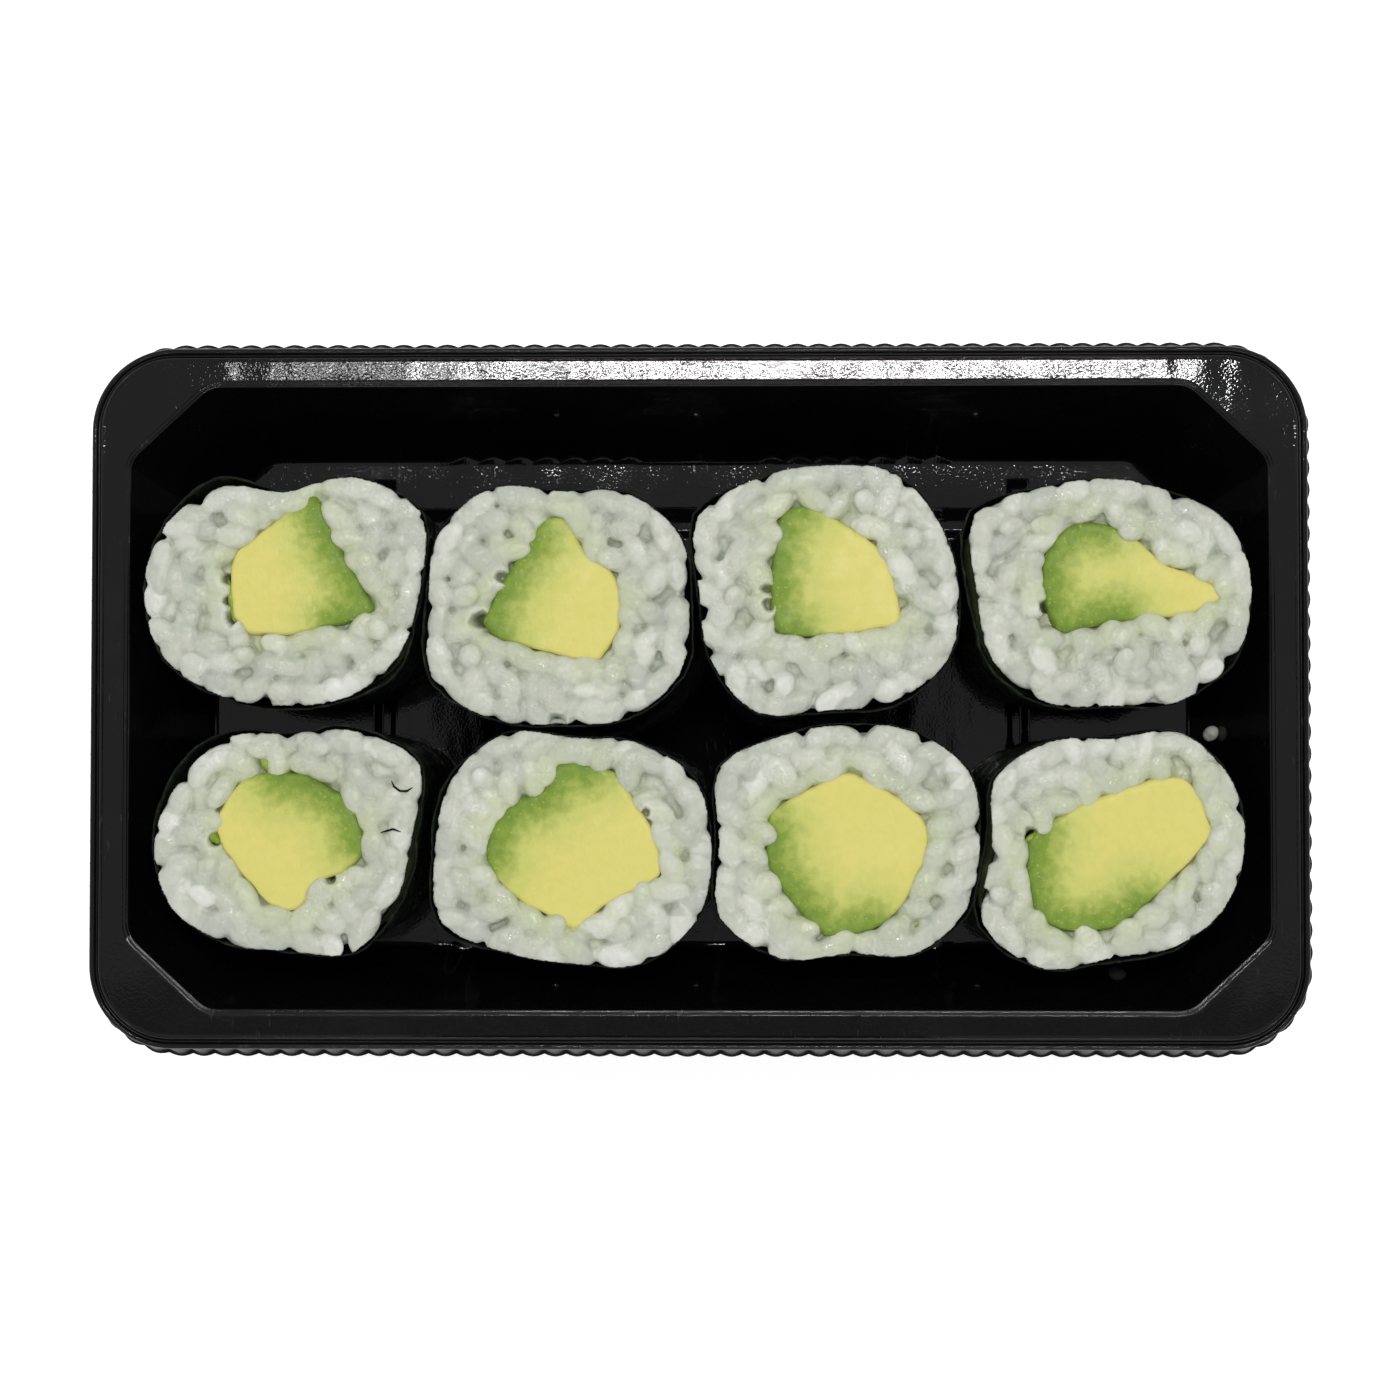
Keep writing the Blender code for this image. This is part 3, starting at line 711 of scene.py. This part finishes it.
def seaweed_rings(roll, look):
    """The rings of one roll's sheet, from its base to its ragged upper edge."""
    rings = []
    share = np.linspace(0.0, 1.0, SEAWEED_ROWS) ** 0.8
    outline = evenly(roll.seaweed.at(roll.top), SEAWEED_AROUND)
    bearing = np.degrees(np.arctan2(*(outline - roll.middle).T[::-1]))
    off = stand_off(roll, bearing)
    way = outward(outline)
    circle = np.column_stack([outline, np.zeros(SEAWEED_AROUND)])
    edge = lumps(circle, 2.2, roll.number) * 0.7 + lumps(circle, 0.8, roll.number + 9) * 0.3
    top = roll.top - 1.25 + edge * look.rag / MM + 1.0 * np.clip(off, 0.0, 1.0)
    for part in share:
        height = roll.base + (top - roll.base) * part
        ring = evenly(roll.seaweed.at(roll.base + (roll.top - roll.base) * part), SEAWEED_AROUND)
        place = np.column_stack([ring, height])
        squeeze = np.column_stack([ring, height * 0.6])
        creases = 0.5 - np.abs(lumps(squeeze, 1.5, roll.number + 3)) * 2.0
        pushed = lumps(place, 3.0, roll.number) + 0.5 * creases
        out = pushed * look.pucker / MM + off * fade(part, 0.72, 1.0) - 0.05
        rings.append(np.column_stack([ring + way * out[:, None], height]))
    return rings


class ROLLS_OT_seaweed(bpy.types.Operator):
    """Wrap each roll in its sheet of seaweed"""
    bl_idname = "rolls.seaweed"
    bl_label = "Seaweed"

    def execute(self, context):
        look = context.scene.rolls_seaweed
        material = seaweed_material(look)
        for roll in ROLLS.values():
            builder = bmesh.new()
            add_loft(builder, seaweed_rings(roll, look), closed=False)
            builder.faces.ensure_lookup_table()
            face = builder.faces[0]
            face.normal_update()
            if face.normal.xy.dot(face.calc_center_median().xy - Vector(roll.middle)) < 0.0:
                bmesh.ops.reverse_faces(builder, faces=builder.faces)
            name = f"seaweed_{roll.number}"
            piece = finish_piece(name, builder, material, "nori", f"nori_{roll.number}", recalculate=False)
            wall = piece.modifiers.new("Wall", "SOLIDIFY")
            wall.thickness, wall.offset, wall.use_even_offset = look.sheet, -1.0, False
        threads = bmesh.new()
        for number, points in SEAWEED_THREADS:
            roll = ROLLS[number]
            path = [Vector((*(roll.middle + np.array(point)), roll.top + 0.12)) for point in points]
            add_thread(threads, path, 0.13)
        finish_piece("seaweed_threads", threads, material, "nori")
        return {"FINISHED"}


def add_thread(builder, path, radius):
    """Skin a thin thread along a path."""
    rings = []
    for index, place in enumerate(path):
        before, after = path[max(index - 1, 0)], path[min(index + 1, len(path) - 1)]
        side = (after - before).normalized().cross(UP)
        thick = radius * (0.35 if index in (0, len(path) - 1) else 1.0)
        rings.append([place + thick * (side * math.cos(turn) + UP * math.sin(turn))
                      for turn in np.arange(8) * math.tau / 8])
    add_loft(builder, rings)


# --- rice -------------------------------------------------------------------------------
CAP_DEPTH = 7.0                 # how deep the real grains go, over a plain core
CORE_INSET = 0.8                # from the rice's outline to the core
SURFACE_LEFT = 0.60             # share of a grain's height that the knife leaves over its cut
HOLLOW_REACH = 2.2              # a hollow closer than this to the filling lies against it
# Tone of the loose grains, darker than the heap's middle tone: painted shade of the deep tray they lie in.
CRUMB_TONE = 0.35
# Rows of grains that follow an outline: distance out, spacing, and spread of the heading.
RICE_ROW, FILLING_ROW = (-1.30, 3.3, 0.50), (1.25, 2.9, 0.80)
# Scattered layers: depth, spacing, number tried, and distance kept from the outlines.
LAYERS = ((0.75, 2.2, 3000, 1.7), (2.0, 2.4, 1300, 1.5))


def knife_cut(roll, points):
    """Height of the knife's cut: uneven, and falling away to the seaweed."""
    flat = np.column_stack([points[:, :2], np.zeros(len(points))])
    fall = 1.0 - fade(inside_distance(points[:, :2], roll.rice_at(roll.top)), -0.4, 2.2)
    return roll.top - 0.15 + 0.30 * lumps(flat, 7.0, roll.number + 20) - 0.55 * fall


def grain_spots(roll, look, random):
    """Where the grains of the top layers lie: across, along, depth, heading, rise."""
    rice, filling = roll.rice_at(roll.top), roll.filling.at(roll.top)
    spots = []
    for outline, (inset, spacing, turn) in ((rice, RICE_ROW), (filling, FILLING_ROW)):
        length = np.linalg.norm(np.roll(outline, -1, 0) - outline, axis=1).sum()
        count = int(length / spacing)
        ring = evenly(outline, count * 8)
        ways = outward(ring)
        for index in range(count):
            pick = (index * 8 + random.integers(-2, 3)) % len(ring)
            place = ring[pick] + ways[pick] * (inset + random.normal(0.0, 0.12))
            heading = math.atan2(ways[pick][1], ways[pick][0]) + math.pi / 2 + random.normal(0.0, turn)
            spots.append((*place, random.uniform(0.55, 1.15), heading, random.normal(0.0, 0.25)))
    low, high = rice.min(0), rice.max(0)
    for depth, apart, tries, margin in LAYERS:
        tried = random.uniform(low, high, (tries, 2))
        fits = (inside_distance(tried, rice) > margin) & (inside_distance(tried, filling) < -margin * 0.75)
        kept = [np.array(spot[:2]) for spot in spots] if depth < 2.0 else []
        for place in tried[fits]:
            if all(np.hypot(*(place - other)) > apart for other in kept):
                kept.append(place)
                rise = random.choice((random.normal(0.0, 0.22), random.uniform(0.6, 1.4)), p=(0.88, 0.12))
                spots.append((*place, depth + random.uniform(-0.35, 0.50),
                              random.uniform(0.0, math.pi), rise))
    return spots


def at_filling(roll, across, along):
    """The middle of a hollow, drawn to the filling's edge where it is close by."""
    place = roll.middle + (across, along)
    outline = roll.filling.at(roll.top)
    apart = np.hypot(*(outline - place).T)
    nearest = apart.argmin()
    if apart[nearest] > HOLLOW_REACH:
        return place
    return outline[nearest] + outward(outline)[nearest] * 0.25


def hollow_depth(roll, points):
    """How deep the hollows press the rice down at each point."""
    depth = np.zeros(len(points))
    flat = np.column_stack([points[:, :2], np.zeros(len(points))])
    ragged = 1.0 + 0.55 * lumps(flat, 1.1, roll.number + 30)
    for across, along, radius, deep in HOLLOWS[roll.number]:
        apart = np.hypot(*(points[:, :2] - at_filling(roll, across, along)).T) * ragged
        depth = np.maximum(depth, deep * (1.0 - fade(apart, radius * 0.35, radius * 1.35)))
    return depth


def rice_heap(roll, look, random):
    """The grains of one roll's top joined in one skin, over a plain core."""
    builder = bmesh.new()
    floor = roll.top - CAP_DEPTH
    core = []
    for height, inset in ((floor, CORE_INSET), (roll.top - 2.6, CORE_INSET), (roll.top - 1.7, 1.4)):
        ring = evenly(roll.rice_at(height), 90)
        core.append(lifted(ring - outward(ring) * inset, height))
    add_loft(builder, core)
    spots = grain_spots(roll, look, random)
    for across, along, depth, heading, rise in spots:
        size = np.array([look.length, look.width, look.width * 0.86]) / MM / 2
        size *= random.normal(1.0, 0.08, 3)
        add_grain(builder, (across, along, roll.top - depth - 0.35), heading, rise, size)
    points = builder_points(builder)
    cut = knife_cut(roll, points)
    over = points[:, 2] - cut
    lowered = np.where(over > 0.0, cut + over * SURFACE_LEFT, points[:, 2])
    for vert, height in zip(builder.verts, lowered):
        vert.co.z = height
    skin = joined_surface(builder, look.cell / MM, 1)
    points = builder_points(skin)
    kept_in = 0.05 + 0.6 * fade(roll.top - points[:, 2], 1.0, 1.9)
    beyond = kept_in - inside_distance(points[:, :2], roll.rice_at(roll.top))
    for vert, excess in zip(skin.verts, beyond):
        if excess > 0.10:
            vert.co.xy -= (vert.co.xy - Vector(roll.middle)).normalized() * excess * 1.05
    near_top = fade(points[:, 2], roll.top - 3.2, roll.top - 1.6)
    for vert, deep in zip(skin.verts, hollow_depth(roll, points) * near_top):
        vert.co.z -= deep
    lower = []
    for height in (roll.base + 0.2, floor + 0.4):
        ring = evenly(roll.rice_at(height), 60)
        lower.append(lifted(ring - outward(ring) * CORE_INSET, height))
    add_loft(skin, lower)
    return skin, spots


def grain_tones(points, spots, random):
    """A tone between 0 and 1 for each point, shared by the points of one grain."""
    tree = KDTree(len(spots) * 3)
    tones = np.clip(random.normal(0.52, 0.17, len(spots)), 0.0, 1.0)
    for index, (across, along, depth, heading, rise) in enumerate(spots):
        for share in (-1.5, 0.0, 1.5):
            tree.insert((across + share * math.cos(heading) * math.cos(rise),
                         along + share * math.sin(heading) * math.cos(rise),
                         -depth + share * math.sin(rise)), index)
    tree.balance()
    return np.array([tones[tree.find(point)[1]] for point in points])


def softened(mesh, values, rounds):
    """Values at a mesh's points, evened out between neighbours."""
    ends = np.empty(len(mesh.edges) * 2, np.int64)
    mesh.edges.foreach_get("vertices", ends)
    first, second = ends.reshape(-1, 2).T
    count = np.maximum(np.bincount(ends, minlength=len(values)), 1)
    for _ in range(rounds):
        total = np.bincount(first, values[second], len(values))
        total = total + np.bincount(second, values[first], len(values))
        values = (values + total / count) / 2
    return values


class ROLLS_OT_rice(bpy.types.Operator):
    """Heap the rice of each roll, and drop the loose grains"""
    bl_idname = "rolls.rice"
    bl_label = "Rice"

    def execute(self, context):
        look = context.scene.rolls_rice
        material = rice_material(look)
        for roll in ROLLS.values():
            random = np.random.default_rng(40 + roll.number)
            builder, spots = rice_heap(roll, look, random)
            piece = finish_piece(f"rice_heap_{roll.number}", builder, material, "rice", f"rice_{roll.number}")
            points = mesh_points(piece.data) / MM
            filling = -inside_distance(points[:, :2], roll.filling.at(roll.top))
            flat = np.column_stack([points[:, :2], points[:, 2] - roll.top])
            stain = (1.0 - fade(filling, 0.3, 5.0)) * (0.65 + 0.35 * lumps(flat, 4.0, roll.number))
            rise = points[:, 2] - softened(piece.data, points[:, 2], 10)
            rise *= hollow_depth(roll, points) < 0.05
            tones = softened(piece.data, grain_tones(flat, spots, random), 1)
            # Painted highlight and shade: rice that bulges over its neighbours is lighter, rice in a crease
            # darker.
            tones = tones + np.clip(rise * 2.0, -0.32, 0.32)
            # Painted shade: how deep the rice lies below the cut, and how far it sinks into a crease.
            depth = fade(knife_cut(roll, points) - points[:, 2], 1.5, 4.0)
            depth = np.maximum(depth, 0.30 * fade(-rise, 0.02, 0.18))
            paint(piece, "rice_stain_tone_and_shade", (stain, tones, depth))
        crumbs = bmesh.new()
        for across, along, height, bearing, rise in LOOSE_GRAINS:
            size = np.array([look.length * 0.42, look.width * 0.55, look.width * 0.45]) / MM / 2
            add_grain(crumbs, (across, along, height), math.radians(bearing), math.radians(rise), size)
        piece = finish_piece("rice_crumbs", crumbs, material, "rice")
        paint(piece, "rice_stain_tone_and_shade", (0.0, CRUMB_TONE, 0.0))
        return {"FINISHED"}


# --- avocado ----------------------------------------------------------------------------
def avocado_block(roll, look):
    """One roll's avocado with a softly cut top, over a plain core."""
    builder = bmesh.new()
    rings = []
    for height, inset in ((-6.0, 0.0), (-1.1, 0.0), (-0.60, 0.0), (-0.38, 0.10), (-0.28, 0.35)):
        ring = evenly(roll.filling.at(roll.top + height), OUTLINE_POINTS)
        place = lifted(ring, height)
        nick = 0.22 * lumps(place, 2.2, roll.number + 50) + 0.12 * lumps(place, 0.9, roll.number + 60)
        rings.append(lifted(ring - outward(ring) * (inset - nick)[:, None], roll.top + height))
    add_loft(builder, rings)
    skin = joined_surface(builder, look.cell / MM, 2)
    points = builder_points(skin)
    sway = 0.10 * lumps(points, 6.0, roll.number + 70) + 0.02 * lumps(points, 1.6, roll.number + 80)
    sway *= fade(points[:, 2], roll.top - 2.0, roll.top - 0.6)
    for vert, lift in zip(skin.verts, sway):
        vert.co.z += lift
    lower = []
    for height in (roll.base + 0.2, roll.top - 5.4):
        ring = evenly(roll.filling.at(height), 60)
        lower.append(lifted(ring - outward(ring) * 0.15, height))
    add_loft(skin, lower)
    return skin


def avocado_ripeness_and_shade(roll, points):
    """Ripeness from the skin side inwards, and depth below the top for painted shade down the sides."""
    outline = evenly(roll.filling.at(roll.top), 180)
    middle = (outline.min(0) + outline.max(0)) / 2
    first, last = GREEN_SIDES[roll.number]
    bearing = (np.degrees(np.arctan2(*(outline - middle).T[::-1])) - first) % 360.0
    green = outline[bearing <= last - first]
    apart = np.linalg.norm(points[:, None, :2] - green[None], axis=2).min(1)
    ripe = fade(apart, -1.8, 9.5) ** 0.85
    # Painted shade: how far the flesh lies below the top.
    depth = fade(roll.top - points[:, 2], 0.9, 3.5)
    return ripe, depth


class ROLLS_OT_avocado(bpy.types.Operator):
    """Cut the avocado of each roll, and lay its slivers in the rice"""
    bl_idname = "rolls.avocado"
    bl_label = "Avocado"

    def execute(self, context):
        look = context.scene.rolls_avocado
        material = avocado_material(look)
        for roll in ROLLS.values():
            builder = avocado_block(roll, look)
            node = f"avocado_{roll.number}"
            piece = finish_piece(f"avocado_cut_{roll.number}", builder, material, "avocado", node)
            paint(piece, "avocado_ripeness_and_shade", avocado_ripeness_and_shade(roll, mesh_points(piece.data) / MM))
        slivers = bmesh.new()
        for number, across, along, bearing, length, width in SLIVERS:
            roll = ROLLS[number]
            place = (*(roll.middle + (across, along)), roll.top - 1.15)
            add_grain(slivers, place, math.radians(bearing), 0.0, (length / 2, width / 2, 0.75))
        for vert in slivers.verts:
            vert.co += Vector((0.25, 0.25, 0.2)) * noise.noise(vert.co / 0.9)
        piece = finish_piece("avocado_slivers", slivers, material, "avocado")
        points = mesh_points(piece.data) / MM
        ripe = 0.28 + 0.22 * lumps(points, 2.0, 5)
        paint(piece, "avocado_ripeness_and_shade", (ripe, 0.0))
        return {"FINISHED"}


# --- stage ------------------------------------------------------------------------------
def seen_directly(tree):
    """1 for what the camera sees, also in gloss and through glass, and 0 for light."""
    path = add_node(tree, "LightPath").outputs
    seen = calc(tree, "MAXIMUM", path["Is Camera Ray"], path["Is Glossy Ray"])
    return calc(tree, "MAXIMUM", seen, path["Is Transmission Ray"])


def add_lamp(name, place, aim, size, power):
    lamp = bpy.data.lights.new(name, "AREA")
    lamp.shape, lamp.size, lamp.size_y = "RECTANGLE", *size
    lamp.energy = power
    holder = bpy.data.objects.new(name, lamp)
    holder.location = place
    holder.rotation_euler = (Vector(aim) - Vector(place)).to_track_quat("-Z", "Y").to_euler()
    bpy.context.scene.collection.objects.link(holder)


def add_card(name, place, size, level):
    """Hang a card over the tray, which its glossy plastic mirrors to the camera."""
    builder = bmesh.new()
    shape = Matrix.Translation(place) @ Matrix.Diagonal((*size, 1.0, 1.0))
    bmesh.ops.create_grid(builder, x_segments=1, y_segments=1, size=0.5, matrix=shape)
    mesh = bpy.data.meshes.new(name)
    builder.to_mesh(mesh)
    builder.free()
    mesh.materials.append(new_material(name, Base_Color=(0.0, 0.0, 0.0, 1.0), Specular_IOR_Level=0.0,
                                       Emission_Color=(1.0, 1.0, 1.0, 1.0), Emission_Strength=level)[0])
    card = bpy.data.objects.new(name, mesh)
    card.visible_camera = False
    bpy.context.scene.collection.objects.link(card)


STRIP_LAMPS, STRIP_START, STRIP_PITCH, STRIP_HEIGHT = 20, -0.158, 0.0161, 0.722
SOFTBOXES = {"left": (-0.75, 0.45, 0.80), "right": (0.75, 0.45, 0.80), "front": (0.0, -0.95, 0.75)}
SPOTS = ((0.60, 0.55, 0.80), (-0.60, 0.55, 0.80), (-0.60, -0.55, 0.80), (0.60, -0.55, 0.80))
TRAY_MIDDLE = (0.0, 0.0, 0.02)


class ROLLS_OT_stage(bpy.types.Operator):
    """Lay the floor, hang the lamps and place the camera"""
    bl_idname = "rolls.stage"
    bl_label = "Stage"

    def execute(self, context):
        scene, look = context.scene, context.scene.rolls_stage
        builder = bmesh.new()
        bmesh.ops.create_grid(builder, x_segments=4, y_segments=4, size=6.0)
        mesh = bpy.data.meshes.new("floor")
        builder.to_mesh(mesh)
        builder.free()
        floor = bpy.data.objects.new("floor", mesh)
        scene.collection.objects.link(floor)
        material, tree, shader = new_material("pale_floor", Base_Color=(0.82, 0.82, 0.82, 1.0), Roughness=0.9,
                                              Emission_Color=(1.0, 1.0, 1.0, 1.0), Specular_IOR_Level=0.0)
        tree.links.new(calc(tree, "MULTIPLY", seen_directly(tree), 0.68), shader.inputs["Emission Strength"])
        mesh.materials.append(material)
        world = bpy.data.worlds.new("daylight")
        world.use_nodes = True
        scene.world = world
        tree = world.node_tree
        strength = add_node(tree, "MapRange", {"Value": seen_directly(tree), "To Min": look.daylight,
                                               "To Max": 1.0})
        backing = tree.nodes["Background"]
        backing.inputs["Color"].default_value = (1.0, 1.0, 1.0, 1.0)
        tree.links.new(strength.outputs["Result"], backing.inputs["Strength"])
        for name, place in SOFTBOXES.items():
            add_lamp(f"softbox_{name}", place, TRAY_MIDDLE, (0.5, 0.5), look.softbox)
        for number, place in enumerate(SPOTS, 1):
            add_lamp(f"spot_{number}", place, TRAY_MIDDLE, (0.05, 0.05), look.spot)
        add_card("dark_card", (-0.012, 0.004, 0.45), (0.125, 0.085), 0.0)
        add_card("grey_card", (-0.009, -0.069, 0.45), (0.330, 0.020), 0.45)
        for index in range(STRIP_LAMPS):
            across, share = STRIP_START + STRIP_PITCH * index, 0.2 + 0.8 * fade(index, 2.0, 6.0)
            add_lamp(f"back_strip_{index:02d}", (across, 0.139, STRIP_HEIGHT), (across, 0.0, 0.0),
                     (0.006, 0.014), look.strip * share)
            add_lamp(f"front_strip_{index:02d}", (across, -0.300, STRIP_HEIGHT), (across, 0.0, 0.0),
                     (0.008, 0.010), look.strip * 0.22)
        camera = bpy.data.cameras.new("camera")
        camera.lens, camera.sensor_width = look.lens, 36.0
        holder = bpy.data.objects.new("camera", camera)
        eye, aim = Vector(look.eye), Vector(look.aim)
        back = (eye - aim).normalized()
        side = Vector((0.0, 1.0, 0.0)).cross(back).normalized()
        turn = Matrix((side, back.cross(side), back)).transposed()
        holder.matrix_world = Matrix.Translation(eye) @ turn.to_4x4()
        scene.collection.objects.link(holder)
        scene.camera = holder
        scene.view_settings.view_transform = "Standard"
        return {"FINISHED"}


class ROLLS_PT_panel(bpy.types.Panel):
    """Lists the steps that finish the tray of rolls"""
    bl_idname = "ROLLS_PT_panel"
    bl_label = "Tray of Avocado Rolls"
    bl_space_type = "VIEW_3D"
    bl_region_type = "UI"
    bl_category = "Rolls"

    def draw(self, context):
        for step in STEPS:
            self.layout.operator(step.bl_idname)


STEPS = (ROLLS_OT_tray, ROLLS_OT_seaweed, ROLLS_OT_rice, ROLLS_OT_avocado, ROLLS_OT_stage)
LOOKS = {"rolls_tray": TrayLook, "rolls_seaweed": SeaweedLook, "rolls_rice": RiceLook,
         "rolls_avocado": AvocadoLook, "rolls_stage": StageLook}


def register():
    for item in (*LOOKS.values(), *STEPS, ROLLS_PT_panel):
        bpy.utils.register_class(item)
    for name, look in LOOKS.items():
        setattr(bpy.types.Scene, name, PointerProperty(type=look))


def unregister():
    for name in LOOKS:
        delattr(bpy.types.Scene, name)
    for item in reversed((*LOOKS.values(), *STEPS, ROLLS_PT_panel)):
        bpy.utils.unregister_class(item)


def main():
    register()
    for step in STEPS:
        group, name = step.bl_idname.split(".")
        getattr(getattr(bpy.ops, group), name)()


if __name__ == "__main__":
    main()
